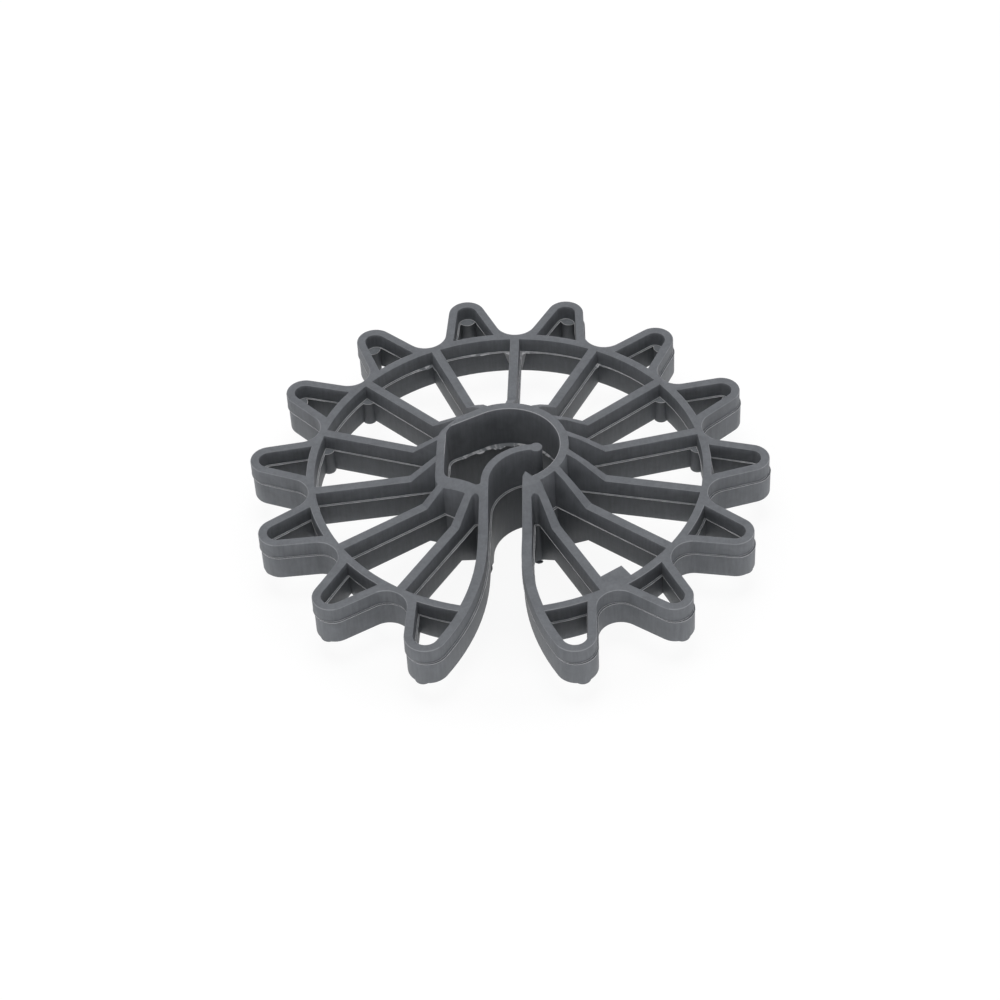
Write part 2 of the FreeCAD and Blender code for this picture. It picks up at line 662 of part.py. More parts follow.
def draw_face_trim(body, rim_height):
    """The section that lies above the rim's face and above the ramp up to the hub."""
    sketch = new_sketch(body, "face_trim_section", "XZ_Plane")
    hub_height = f"({rim_height} + sizes.hub_rise)"
    over = f"({hub_height} + 1)"
    corners = (
        ("sizes.ramp_outer", rim_height),
        ("sizes.closing_radius", rim_height),
        ("sizes.closing_radius", over),
        ("sizes.ramp_inner", over),
        ("sizes.ramp_inner", hub_height),
    )
    points = [FreeCAD.Vector(number(x), number(y), 0) for x, y in corners]
    edges = [add_line(sketch, points[i - 1], points[i]) for i in range(len(points))]
    for i, (x, y) in enumerate(corners):
        rule(sketch, "Coincident", edges[i], END, edges[(i + 1) % len(edges)], START)
        place(sketch, (edges[i], END), x, y)
    return sketch


def draw_gate(body):
    """The tab that the gate left inside the ring, which runs into the right front spoke."""
    sketch = new_sketch(body, "gate_outline", clock="(90 + sizes.gate_angle)")
    near = -number("sizes.gate_near")
    far = number("sizes.gate_far")
    inner = number("sizes.ring_inner - sizes.gate_depth")
    outer = number("sizes.ring_inner + 1")
    corners = (
        FreeCAD.Vector(near, inner, 0),
        FreeCAD.Vector(far, inner, 0),
        FreeCAD.Vector(far, outer, 0),
        FreeCAD.Vector(near, outer, 0),
    )
    edges = [add_line(sketch, corners[i], corners[(i + 1) % 4]) for i in range(4)]
    for i in range(4):
        rule(sketch, "Coincident", edges[i], END, edges[(i + 1) % 4], START)
    for edge in (edges[0], edges[2]):
        rule(sketch, "Horizontal", edge)
    for edge in (edges[1], edges[3]):
        rule(sketch, "Vertical", edge)
    place(sketch, (edges[0], START), "-sizes.gate_near", "sizes.ring_inner - sizes.gate_depth")
    place(sketch, (edges[2], START), "sizes.gate_far", "sizes.ring_inner + 1")
    return sketch


def draw_post(body, name, clock, radius, x, y):
    """The round section of an ejector post, placed in a frame turned clockwise."""
    sketch = new_sketch(body, name, clock=clock)
    centre = FreeCAD.Vector(number(x) if x else 0, number(y), 0)
    axis = FreeCAD.Vector(0, 0, 1)
    post = sketch.addGeometry(Part.Circle(centre, axis, number(radius)))
    bind(sketch, "Radius", (post,), radius)
    place(sketch, (post, CENTRE), x, y)
    if not x:
        rule(sketch, "PointOnObject", post, CENTRE, VERTICAL_AXIS)
    return sketch


def checked(feature, before):
    """The feature's volume, once it is sure that the feature changed the solid."""
    doc.recompute()
    shape = feature.Shape
    if shape.isNull() or not shape.isValid() or abs(shape.Volume - before) < 1:
        raise RuntimeError(f"{feature.Name} did not change the solid")
    return shape.Volume


def inner_walls(shape):
    """Names of the upright faces of windows and pockets, without the outer outline's."""
    floor = next(
        face
        for face in shape.Faces
        if abs(face.CenterOfMass.z) < 0.001 and abs(face.normalAt(0, 0).z) > 0.999
    )
    outline = floor.OuterWire.Edges
    return [
        f"Face{index}"
        for index, face in enumerate(shape.Faces, start=1)
        if abs(face.normalAt(0, 0).z) < 0.001
        and not any(edge.isSame(other) for edge in face.Edges for other in outline)
    ]


def make_half(name, rim_height):
    """One mould half, which stands on the parting plane."""
    body = doc.addObject("PartDesign::Body", name)
    hub_height = f"{rim_height} + sizes.hub_rise"
    volume = checked(add_pad(body, draw_blank(body), "blank", hub_height), 0)
    for draw, cut_name, count in (
        (draw_valley, "valley", 11),
        (draw_window, "window", 12),
        (draw_tooth_pocket, "tooth_pocket", 12),
    ):
        cut = add_cut(body, draw(body), cut_name)
        volume = checked(cut, volume)
        volume = checked(add_polar_pattern(body, cut, f"{cut_name}s", count), volume)
    for draw, cut_name in (
        (draw_front_valley, "front_valley"),
        (draw_front_pocket, "front_pocket"),
        (draw_front_window, "front_window"),
    ):
        cut = add_cut(body, draw(body), cut_name)
        volume = checked(cut, volume)
        volume = checked(add_mirror(body, cut, f"{cut_name}s"), volume)
    volume = checked(add_pad(body, draw_hub_side(body), "hub_side", hub_height), volume)
    slot = add_cut(body, draw_slot(body), "slot")
    volume = checked(slot, volume)

    draft = body.newObject("PartDesign::Draft", "wall_draft")
    draft.Base = (slot, inner_walls(slot.Shape))
    draft.NeutralPlane = (origin_feature(body, "XY_Plane"), [""])
    draft.setExpression("Angle", "sizes.draft_angle")
    volume = checked(draft, volume)

    trim = body.newObject("PartDesign::Groove", "face_trim")
    trim.Profile = draw_face_trim(body, rim_height)
    trim.ReferenceAxis = (origin_feature(body, "Z_Axis"), [""])
    trim.Angle = 360
    checked(trim, volume)
    return body


def add_posts(body):
    """Ejector posts in the tooth tips and in the side windows' corners, with stubs past the rim."""
    volume = body.Shape.Volume
    for name, kind, clock, count, x, y in (
        ("tip", "tip", "(6.5 * sizes.tooth_pitch)", 14, None, "sizes.tip_post_place"),
        ("right", "corner", "(3 * sizes.tooth_pitch)", 2, HALF_SPOKE, "sizes.ring_inner"),
        ("left", "corner", "(-2 * sizes.tooth_pitch)", 2, f"-1 * {HALF_SPOKE}", "sizes.ring_inner"),
    ):
        sketch = draw_post(body, f"{name}_post_outline", clock, f"sizes.{kind}_post_radius", x, y)
        post = add_pad(body, sketch, f"{name}_post", f"sizes.rim_below + sizes.{kind}_post_stub")
        volume = checked(post, volume)
        volume = checked(add_polar_pattern(body, post, f"{name}_posts", count), volume)


upper = make_half("upper_half", "sizes.rim_above")
gate = add_pad(upper, draw_gate(upper), "gate_tab", "sizes.rim_above")
checked(gate, upper.Shape.Volume)

lower = make_half("lower_half", "sizes.rim_below")
add_posts(lower)
lower_turned = doc.addObject("Part::Mirroring", "lower_turned")
lower_turned.Source = lower
lower_turned.Normal = FreeCAD.Vector(0, 0, 1)
# The two halves of the mould did not meet squarely, which left a step all round.
lower_turned.setExpression("Placement.Base.x", "sizes.mould_shift_x")
lower_turned.setExpression("Placement.Base.y", "-sizes.mould_shift_y")

spacer = doc.addObject("Part::Fuse", "wheel_spacer")
spacer.Base = upper
spacer.Tool = lower_turned
spacer.Refine = True
spacer.Label = "wheel_spacer"
spacer.setExpression("Placement.Base.z", "sizes.rim_below + sizes.hub_rise")
doc.recompute()

for item in doc.Objects:
    if "Invalid" in item.State or "Error" in item.State:
        raise RuntimeError(f"{item.Name} failed")
shape = spacer.Shape
if shape.isNull() or not shape.isValid() or len(shape.Solids) != 1:
    raise RuntimeError("wheel_spacer is not one valid solid")
os.makedirs("parts", exist_ok=True)
shape.exportStep(f"parts/{spacer.Label}.step")
print(spacer.Label, len(shape.Faces), "faces", round(shape.Volume), "mm3", shape.BoundBox)
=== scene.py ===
"""Looks of a moulded plastic wheel spacer for reinforcing bar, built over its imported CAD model.

The wheel is one moulding. Its CAD solid is copied and its edges are rounded, and what the mould has
left on it is added: the thin ragged flash along the parting line, two films in corners and two drips.
"""

import math

import bmesh
import bpy
from bpy.props import FloatProperty, FloatVectorProperty, PointerProperty
from mathutils import Matrix, Vector, noise


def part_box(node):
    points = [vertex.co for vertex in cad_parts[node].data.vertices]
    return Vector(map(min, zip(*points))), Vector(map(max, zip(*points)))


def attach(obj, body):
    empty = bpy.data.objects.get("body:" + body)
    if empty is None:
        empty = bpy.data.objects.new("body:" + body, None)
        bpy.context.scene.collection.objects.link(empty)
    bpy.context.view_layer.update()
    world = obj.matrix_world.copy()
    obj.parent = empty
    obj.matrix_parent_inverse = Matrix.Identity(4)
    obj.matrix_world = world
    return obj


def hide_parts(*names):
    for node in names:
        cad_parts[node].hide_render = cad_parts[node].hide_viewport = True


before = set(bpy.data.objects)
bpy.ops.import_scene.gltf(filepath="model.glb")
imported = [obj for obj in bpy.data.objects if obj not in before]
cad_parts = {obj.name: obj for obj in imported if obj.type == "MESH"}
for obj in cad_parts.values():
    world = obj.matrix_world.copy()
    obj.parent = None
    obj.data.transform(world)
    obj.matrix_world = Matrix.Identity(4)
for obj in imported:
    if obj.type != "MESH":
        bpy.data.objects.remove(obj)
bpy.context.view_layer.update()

bl_info = {
    "name": "Rebar wheel spacer",
    "version": (1, 0, 0),
    "blender": (4, 5, 0),
    "location": "View3D > Sidebar > Spacer",
    "description": "Dresses the CAD model of a moulded rebar wheel spacer",
    "category": "Object",
}

MM = 0.001
NODE = "wheel_spacer"
BODY = "root"

# Heights of the moulding, from the hub's upper face down
LOW_CORNER, HIGH_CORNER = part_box(NODE)
HUB_RISE = 6.5 * MM
RIM_ABOVE_PARTING = 3.5 * MM
RIM_TOP = HIGH_CORNER.z - HUB_RISE
PARTING = RIM_TOP - RIM_ABOVE_PARTING
WHEEL_RADIUS = 0.5 * (HIGH_CORNER.x - LOW_CORNER.x)
RING_RADIUS = 42.0 * MM
# Outer radius of the hub's wall at its upper face, and the part of the hub where spokes meet it
HUB_RADIUS = 12.85 * MM
SPOKES_RIGHT_OF = -11.0 * MM
SPOKES_BEHIND = -9.0 * MM
# How far the ramps' upper ends run past the hub's wall in the solid, and the share that is kept
RAMP_OVERRUN = 0.6 * MM
RAMP_KEPT = 0.15
# Where the bore's upper rim is painted pale, as rubbed wear and as a painted highlight: its radii, its
# depth and the flat wall on its left
PALE_RIM_FROM = 9.5 * MM
PALE_RIM_TO = 15.5 * MM
PALE_RIM_DEPTH = 1.5 * MM
LEFT_WALL = -12.0 * MM
# Two heights closer than this are one
SAME_LEVEL = 0.01 * MM

# The flash's ribbon: length of its steps, how deep it is rooted in the wall, its least width, the
# size of its tears, the extra width at which it is a film, and the paling of the thin ribbon, which is
# whitened flash and a painted highlight along the parting line
FLASH_STEP = 0.25 * MM
FLASH_ROOT = 0.05 * MM
FLASH_LEAST = 0.03 * MM
TEAR_SIZE = 0.9 * MM
FILM_WIDTH = 0.3 * MM
THIN_WHITENING_AND_HIGHLIGHT = 0.62

# Places where the flash is wider: x, y, spread and extra reach, in millimetres. A place lies
# in the open, a little off the wall, and only the walls that face it are changed.
FLASH_PLACES = (
    (-2.6, 9.9, 2.6, 1.2),
    (-6.3, 8.2, 2.4, 0.55),
    (-9.6, 6.2, 2.0, 0.3),
    (-12.3, 2.0, 3.0, 0.2),
    (0.4, 10.4, 1.8, 0.55),
    (3.4, 9.9, 1.6, 0.35),
    (7.6, 6.8, 2.0, 0.5),
    (-19.2, 35.0, 2.0, 0.6),
    (18.6, 35.2, 1.8, 0.4),
    (2.6, 39.4, 1.8, 0.4),
    (-8.0, 39.2, 4.0, 0.3),
)

# Films of flash in the back windows' corners: the corner's x and y, the reach along the ring and
# along the spoke, and the depth below the parting line, in millimetres.
FILMS = (
    (1.3, 40.6, 1.3, 1.4, 5.3),
    (-0.8, 40.6, -1.9, 1.4, 5.3),
)

# Drips under the left slot wall and under the hub beside the right one: centre and half sizes, in
# millimetres, and then how lumpy they are.
DRIPS = (
    ((-3.5, -20.4, 5.9), (0.5, 1.5, 0.7)),
    ((6.3, -13.2, 0.4), (0.9, 0.55, 0.35)),
)
DRIP_LUMP_HEIGHT = 0.12 * MM
DRIP_LUMP_SIZE = 0.5 * MM

# The floor: its radius, the centre of its painted shade under the hub, the distances from there at
# which the painted shade starts to fade and has faded, the share of plain white that the camera sees,
# and the distances from the wheel's axis at which the glow starts and is full
FLOOR_RADIUS = 3.0
SHADE_PATCH_CENTRE = (0.0, -14.0 * MM, 0.0)
SHADE_PATCH_RADIUS = 18.0 * MM
SHADE_PATCH_FADED = 32.0 * MM
FLOOR_WHITE = 0.93
GLOW_FROM = 0.95 * WHEEL_RADIUS
GLOW_FULL = 1.25 * WHEEL_RADIUS

# The light: elevations between which the horizon's band fades, its shares in front and behind, and
# the softbox's width and place
BAND_FULL = math.radians(5.0)
BAND_FADED = math.radians(15.0)
FRONT_SHARE = 0.8
BACK_SHARE = 1.15
SOFTBOX_WIDTH = 0.35
SOFTBOX_PLACE = (0.0, -0.03, 0.75)

# The point that the camera looks at, and the width of its sensor in millimetres
CAMERA_TARGET = Vector((-1.41 * MM, -10.07 * MM, RIM_TOP))
SENSOR_WIDTH = 36.0


class SpacerSettings(bpy.types.PropertyGroup):
    """Sizes and colours of the moulding"""

    edge_round: FloatProperty(
        name="Edge round",
        description="Width of the soft edge along the mouldings' faces",
        default=0.15 * MM, min=0.02 * MM, max=0.5 * MM, unit="LENGTH", precision=5,
    )
    warp: FloatProperty(
        name="Warp",
        description="How far the wheel's two sides have lifted as the moulding cooled",
        default=0.3 * MM, min=0.0, max=2.0 * MM, unit="LENGTH", precision=5,
    )
    plastic: FloatVectorProperty(
        name="Plastic",
        description="Main colour of the recycled grey plastic",
        default=(0.112, 0.121, 0.129), size=3, min=0.0, max=1.0, subtype="COLOR",
    )
    plastic_pale: FloatVectorProperty(
        name="Pale streaks",
        description="Colour of the paler mottle in the plastic",
        default=(0.172, 0.184, 0.195), size=3, min=0.0, max=1.0, subtype="COLOR",
    )
    # Rounded edges are painted paler with this colour: a little as rubbed wear, and more on the bore's rim
    # and the teeth as a painted highlight
    edge_wear_and_highlight: FloatVectorProperty(
        name="Rubbed edges",
        description="Colour of the rubbed edges",
        default=(0.330, 0.340, 0.350), size=3, min=0.0, max=1.0, subtype="COLOR",
    )
    # The thin flash is painted this pale colour, partly as whitened torn plastic and partly as a painted
    # highlight along the parting line
    flash_pale_and_highlight: FloatVectorProperty(
        name="Torn flash",
        description="Colour of the thin, torn flash, which is whiter than the solid plastic",
        default=(0.700, 0.705, 0.710), size=3, min=0.0, max=1.0, subtype="COLOR",
    )
    # The corner films are painted pale, partly as whitened flash and partly as painted light that
    # brightens them
    film_whitening_and_highlight: FloatProperty(
        name="Film whitening",
        description="How far the corner films are whitened towards the torn flash",
        default=0.55, min=0.0, max=1.0, subtype="FACTOR",
    )
    flash_reach: FloatProperty(
        name="Flash reach",
        description="How far the flash stands out from the walls along the parting line",
        default=0.09 * MM, min=0.0, max=1.0 * MM, unit="LENGTH", precision=5,
    )
    flash_thickness: FloatProperty(
        name="Flash thickness",
        description="Thickness of the flash",
        default=0.07 * MM, min=0.02 * MM, max=0.4 * MM, unit="LENGTH", precision=5,
    )


class StageSettings(bpy.types.PropertyGroup):
    """Camera, floor and lamps"""

    elevation: FloatProperty(
        name="Elevation",
        description="Camera's height above the horizon",
        default=math.radians(44.24), subtype="ANGLE",
    )
    azimuth: FloatProperty(
        name="Azimuth",
        description="Camera's turn about the wheel's axis, from the slot side",
        default=math.radians(4.35), subtype="ANGLE",
    )
    roll: FloatProperty(
        name="Roll",
        description="Camera's turn about its line of sight",
        default=math.radians(-3.26), subtype="ANGLE",
    )
    distance: FloatProperty(
        name="Distance",
        description="From the camera to the point that it looks at",
        default=563.2 * MM, min=0.1, unit="LENGTH",
    )
    lens: FloatProperty(
        name="Lens",
        description="Focal length, in millimetres",
        default=97.4, min=10.0, unit="CAMERA",
    )
    floor: FloatVectorProperty(
        name="Floor",
        description="Colour of the floor",
        default=(0.85, 0.85, 0.85), size=3, min=0.0, max=1.0, subtype="COLOR",
    )
    # A darker floor colour under the hub: painted shade, so that the floor throws back less light there
    painted_floor_shade: FloatVectorProperty(
        name="Floor under the hub",
        description="Colour of the floor where the hub stands on it",
        default=(0.25, 0.25, 0.26), size=3, min=0.0, max=1.0, subtype="COLOR",
    )
    tent: FloatVectorProperty(
        name="Tent",
        description="Colour of the light that comes from all round",
        default=(1.0, 0.975, 1.03), size=3, min=0.0, max=2.0, subtype="COLOR",
    )
    horizon: FloatProperty(
        name="Horizon light",
        description="Strength of the low light from all round, as from the walls of a light tent",
        default=1.8, min=0.0,
    )
    sky: FloatProperty(
        name="Sky light",
        description="Strength of the even light from above the horizon band",
        default=0.26, min=0.0,
    )
    glow: FloatProperty(
        name="Floor glow",
        description="Strength of the lit floor around the wheel",
        default=0.64, min=0.0,
    )
    softbox: FloatProperty(
        name="Softbox",
        description="Power of the overhead softbox, in watts",
        default=3.25, min=0.0,
    )


def object_from_bmesh(bm, name):
    """Makes a shown object of a finished bmesh."""
    mesh = bpy.data.meshes.new(name)
    bm.to_mesh(mesh)
    bm.free()
    piece = bpy.data.objects.new(name, mesh)
    bpy.context.scene.collection.objects.link(piece)
    return piece


def merged_solid():
    """A bmesh of the CAD solid with its loose triangles joined into whole faces."""
    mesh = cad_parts[NODE].data.copy()
    for layer in [layer.name for layer in mesh.attributes if not layer.is_required]:
        mesh.attributes.remove(mesh.attributes[layer])
    bm = bmesh.new()
    bm.from_mesh(mesh)
    bpy.data.meshes.remove(mesh)
    bmesh.ops.remove_doubles(bm, verts=bm.verts, dist=0.0005 * MM)
    bmesh.ops.dissolve_limit(
        bm, angle_limit=math.radians(0.2), verts=bm.verts, edges=bm.edges, delimit={"NORMAL"},
    )
    return bm


def warp_wheel(bm, lift):
    """Bends a finished piece as the whole wheel is bent, with its two sides raised."""
    for vert in bm.verts:
        vert.co.z += lift * (vert.co.x / WHEEL_RADIUS) ** 2


def seat_ramps(bm):
    """Draws the upper ends of the spokes' ramps in to the hub's wall, where they run out smoothly."""
    for vert in bm.verts:
        radius = vert.co.xy.length
        at_spoke = vert.co.x > SPOKES_RIGHT_OF and vert.co.y > SPOKES_BEHIND
        on_top = HIGH_CORNER.z - vert.co.z < SAME_LEVEL
        if at_spoke and on_top and HUB_RADIUS < radius < HUB_RADIUS + RAMP_OVERRUN:
            drawn_in = HUB_RADIUS + RAMP_KEPT * (radius - HUB_RADIUS)
            vert.co.xy *= drawn_in / radius


def wear_and_highlight_share(face):
    """How far a rounded edge is painted pale: a little on every edge as rubbed wear, and most along the
    bore's upper rim, then on the teeth, as a painted highlight.
    """
    centre = face.calc_center_median()
    radius = centre.xy.length
    inward = -face.normal.xy.dot(centre.xy) / radius
    least = 0.1 if centre.x < LEFT_WALL else 0.3
    on_rim = PALE_RIM_FROM < radius < PALE_RIM_TO and HIGH_CORNER.z - centre.z < PALE_RIM_DEPTH
    # The bore's upper rim: a painted highlight as well as rubbed wear
    if on_rim and inward > least:
        return 1.0
    # The teeth's outer top edges: a painted highlight
    if inward < -0.2 and radius > RING_RADIUS and abs(RIM_TOP - centre.z) < 0.3 * MM:
        return 0.5
    return 0.1


def at_parting(edge):
    """Whether an edge touches the parting plane."""
    return any(abs(vert.co.z - PARTING) < SAME_LEVEL for vert in edge.verts)


def add_piece(piece, material):
    """Dresses a piece and fixes it to the wheel."""
    piece.data.materials.clear()
    piece.data.materials.append(material)
    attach(piece, BODY)


def new_group(name, inputs, outputs):
    """A shader node group with named sockets: (tree, input node, output node)."""
    tree = bpy.data.node_groups.new(name, "ShaderNodeTree")
    for socket_name, socket_type, default in inputs:
        socket = tree.interface.new_socket(socket_name, in_out="INPUT", socket_type=socket_type)
        if default is not None:
            socket.default_value = default
    for socket_name, socket_type in outputs:
        tree.interface.new_socket(socket_name, in_out="OUTPUT", socket_type=socket_type)
    return tree, tree.nodes.new("NodeGroupInput"), tree.nodes.new("NodeGroupOutput")


def noise_node(tree, vector, scale, detail, roughness, distortion=0.0):
    """A noise texture fed by a vector socket."""
    node = tree.nodes.new("ShaderNodeTexNoise")
    node.inputs["Scale"].default_value = scale
    node.inputs["Detail"].default_value = detail
    node.inputs["Roughness"].default_value = roughness
    node.inputs["Distortion"].default_value = distortion
    tree.links.new(vector, node.inputs["Vector"])
    return node


def mapped(tree, value, low, high, to_low, to_high):
    """A value socket mapped from one range to another."""
    node = tree.nodes.new("ShaderNodeMapRange")
    node.inputs["From Min"].default_value = low
    node.inputs["From Max"].default_value = high
    node.inputs["To Min"].default_value = to_low
    node.inputs["To Max"].default_value = to_high
    tree.links.new(value, node.inputs["Value"])
    return node.outputs["Result"]


def moulded_surface_group():
    """Mottle, gloss and grain of moulded recycled plastic, with streaks in the mould's direction."""
    name = "moulded_surface"
    if name in bpy.data.node_groups:
        return bpy.data.node_groups[name]
    tree, entry, leave = new_group(
        name,
        [("Vector", "NodeSocketVector", None)],
        [("Mottle", "NodeSocketFloat"), ("Roughness", "NodeSocketFloat"), ("Height", "NodeSocketFloat")],
    )
    drawn_out = tree.nodes.new("ShaderNodeMapping")
    drawn_out.inputs["Scale"].default_value = (1.0, 1.0, 0.1)
    tree.links.new(entry.outputs["Vector"], drawn_out.inputs["Vector"])
    clouds = noise_node(
        tree, entry.outputs["Vector"], scale=260.0, detail=4.0, roughness=0.6, distortion=0.8,
    )
    streaks = noise_node(tree, drawn_out.outputs["Vector"], scale=1500.0, detail=3.0, roughness=0.6)
    grain = noise_node(tree, entry.outputs["Vector"], scale=3200.0, detail=3.0, roughness=0.65)
    mottle = tree.nodes.new("ShaderNodeMix")
    mottle.inputs["Factor"].default_value = 0.35
    tree.links.new(mapped(tree, clouds.outputs["Fac"], 0.30, 0.72, 0.0, 1.0), mottle.inputs["A"])
    tree.links.new(mapped(tree, streaks.outputs["Fac"], 0.36, 0.66, 0.0, 1.0), mottle.inputs["B"])
    tree.links.new(mottle.outputs["Result"], leave.inputs["Mottle"])
    tree.links.new(mapped(tree, clouds.outputs["Fac"], 0.3, 0.7, 0.50, 0.62), leave.inputs["Roughness"])
    tree.links.new(grain.outputs["Fac"], leave.inputs["Height"])
    return tree


def plastic_material(name, base, pale, pale_and_highlit_colour):
    """Grey moulded plastic: mottled, finely grained, and painted paler where the surface attribute says
    so, as rubbed wear, whitened flash and a painted highlight.
    """
    material = bpy.data.materials.new(name)
    material.use_nodes = True
    tree = material.node_tree
    shader = tree.nodes["Principled BSDF"]
    place = tree.nodes.new("ShaderNodeTexCoord")
    surface = tree.nodes.new("ShaderNodeGroup")
    surface.node_tree = moulded_surface_group()
    tree.links.new(place.outputs["Object"], surface.inputs["Vector"])

    colour = tree.nodes.new("ShaderNodeMix")
    colour.data_type = "RGBA"
    colour.inputs["A"].default_value = (*base, 1.0)
    colour.inputs["B"].default_value = (*pale, 1.0)
    tree.links.new(surface.outputs["Mottle"], colour.inputs["Factor"])

    # Paler where the attribute says: rubbed wear and whitened flash, and a painted highlight on edges and
    # along the parting line
    pale_and_highlit = tree.nodes.new("ShaderNodeAttribute")
    pale_and_highlit.attribute_name = "pale_and_highlit"
    edges = tree.nodes.new("ShaderNodeMix")
    edges.data_type = "RGBA"
    edges.inputs["B"].default_value = (*pale_and_highlit_colour, 1.0)
    tree.links.new(pale_and_highlit.outputs["Fac"], edges.inputs["Factor"])
    tree.links.new(colour.outputs["Result"], edges.inputs["A"])
    tree.links.new(edges.outputs["Result"], shader.inputs["Base Color"])

    bump = tree.nodes.new("ShaderNodeBump")
    bump.inputs["Strength"].default_value = 0.25
    bump.inputs["Distance"].default_value = 0.05 * MM
    tree.links.new(surface.outputs["Height"], bump.inputs["Height"])
    tree.links.new(bump.outputs["Normal"], shader.inputs["Normal"])
    tree.links.new(surface.outputs["Roughness"], shader.inputs["Roughness"])
    shader.inputs["Specular IOR Level"].default_value = 0.35
    return material


def flash_material(settings):
    """The plastic of the flash: grey where it is a wide film, and painted pale where it is thin and torn,
    as whitened flash and as a painted highlight along the parting line.
    """
    name = "flash_plastic"
    if name in bpy.data.materials:
        return bpy.data.materials[name]
    return plastic_material(name, settings.plastic, settings.plastic_pale, settings.flash_pale_and_highlight)


class SPACER_OT_moulding(bpy.types.Operator):
    """Make the moulded wheel from its CAD solid, with soft edges"""

    bl_idname = "spacer.moulding"
    bl_label = "Moulded wheel"

    def execute(self, context):
        settings = context.scene.spacer
        bm = merged_solid()
        seat_ramps(bm)
        sharp = math.radians(50.0)
        pale_and_highlit = bm.faces.layers.float.new("pale_and_highlit")
        edges = [
            edge for edge in bm.edges
            if edge.is_manifold and edge.is_convex and edge.calc_face_angle() > sharp
            and not at_parting(edge)
        ]
        made = bmesh.ops.bevel(
            bm, geom=edges, offset=settings.edge_round, offset_type="OFFSET", affect="EDGES",
            segments=2, profile=0.5, material=-1, clamp_overlap=False, loop_slide=False,
        )
        # Rounded edges are painted pale: rubbed wear, with a painted highlight on the bore's rim and the
        # teeth
        for face in made["faces"]:
            face[pale_and_highlit] = wear_and_highlight_share(face)
        for vert in bm.verts:
            vert.co.z = min(max(vert.co.z, LOW_CORNER.z), HIGH_CORNER.z)
        bmesh.ops.triangulate(bm, faces=bm.faces)
        warp_wheel(bm, settings.warp)
        piece = object_from_bmesh(bm, "wheel_body")
        piece.data.shade_smooth()
        piece.data.set_sharp_from_angle(angle=math.radians(30.0))
        add_piece(
            piece,
            plastic_material("grey_plastic", settings.plastic, settings.plastic_pale, settings.edge_wear_and_highlight),
        )
        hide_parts(NODE)
        return {"FINISHED"}


class SPACER_OT_flash(bpy.types.Operator):
    """Add the thin, torn flash that the mould left along its parting line"""

    bl_idname = "spacer.flash"
    bl_label = "Parting flash"

    def execute(self, context):
        settings = context.scene.spacer
        for name, side in (("upper_flash", 1.0), ("lower_flash", -1.0)):
            add_piece(self.make_flash(name, side, settings), flash_material(settings))
        return {"FINISHED"}

    @staticmethod
    def wall_line(side):
        """A bmesh of one half's outline at the parting plane, and the layer of its walls' facing."""
        bm = merged_solid()
        facing = bm.verts.layers.float_vector.new("facing")
        level = Vector((0.0, 0.0, PARTING + side * 0.02 * MM))
        cut = bmesh.ops.bisect_plane(
            bm, geom=[*bm.verts, *bm.edges, *bm.faces], dist=0.0005 * MM,
            plane_co=level, plane_no=(0.0, 0.0, side), clear_inner=True,
        )
        line = {item for item in cut["geom_cut"] if isinstance(item, bmesh.types.BMEdge)}
        for vert in {vert for edge in line for vert in edge.verts}:
            normal = sum((face.normal for face in vert.link_faces), Vector((0.0, 0.0, 0.0)))
            vert[facing] = Vector((normal.x, normal.y, 0.0)).normalized()
            vert.co.z = PARTING
        bmesh.ops.delete(bm, geom=[edge for edge in bm.edges if edge not in line], context="EDGES")
        return bm, facing

    @staticmethod
    def reach(point, normal, settings):
        """How far the flash stands out at a point of a wall, and how far it is painted pale there, as
        whitened flash and a painted highlight.
        """
        torn = noise.fractal(point / TEAR_SIZE, 0.6, 2.0, 3)
        outside = point.xy.length > RING_RADIUS and normal.dot(point) > 0.0
        width = settings.flash_reach * (0.6 if outside else 1.0) * (1.0 + 0.5 * torn)
        extra_width = 0.0
        for x, y, spread, extra in FLASH_PLACES:
            way = Vector((x * MM, y * MM, point.z)) - point
            faces_it = max(0.0, normal.dot(way.normalized()))
            near = math.exp(-(way.length / (spread * MM)) ** 2)
            extra_width += extra * MM * near * min(1.0, 2.0 * faces_it)
        width = max(FLASH_LEAST, width + extra_width * (1.0 + 0.25 * torn))
        film = min(1.0, extra_width / FILM_WIDTH)
        specks = max(0.04, min(0.5, 1.6 * torn))
        # The thin ribbon is painted pale, as whitened flash and as a painted highlight along the parting
        # line; the wide film keeps pale specks
        return width, THIN_WHITENING_AND_HIGHLIGHT * (1.0 - film) + specks * film

    def make_flash(self, name, side, settings):
        """A thin ragged ribbon along every wall of one half."""
        bm, facing = self.wall_line(side)
        pale_and_highlit = bm.verts.layers.float.new("pale_and_highlit")
        edges_by_cuts = {}
        for edge in bm.edges:
            cuts = round(edge.calc_length() / FLASH_STEP) - 1
            edges_by_cuts.setdefault(cuts, []).append(edge)
        for cuts, edges in edges_by_cuts.items():
            if cuts > 0:
                bmesh.ops.subdivide_edges(bm, edges=edges, cuts=cuts)
        made = bmesh.ops.extrude_edge_only(bm, edges=bm.edges)
        tips = {item for item in made["geom"] if isinstance(item, bmesh.types.BMVert)}
        for vert in bm.verts:
            normal = vert[facing].normalized()
            width, vert[pale_and_highlit] = self.reach(vert.co, normal, settings)
            vert.co += normal * (width if vert in tips else -FLASH_ROOT)
        bm.verts.layers.float_vector.remove(facing)
        made = bmesh.ops.extrude_face_region(bm, geom=bm.faces)
        raised = [item for item in made["geom"] if isinstance(item, bmesh.types.BMVert)]
        bmesh.ops.translate(bm, verts=raised, vec=(0.0, 0.0, side * settings.flash_thickness))
        bmesh.ops.recalc_face_normals(bm, faces=bm.faces)
        warp_wheel(bm, settings.warp)
        return object_from_bmesh(bm, name)


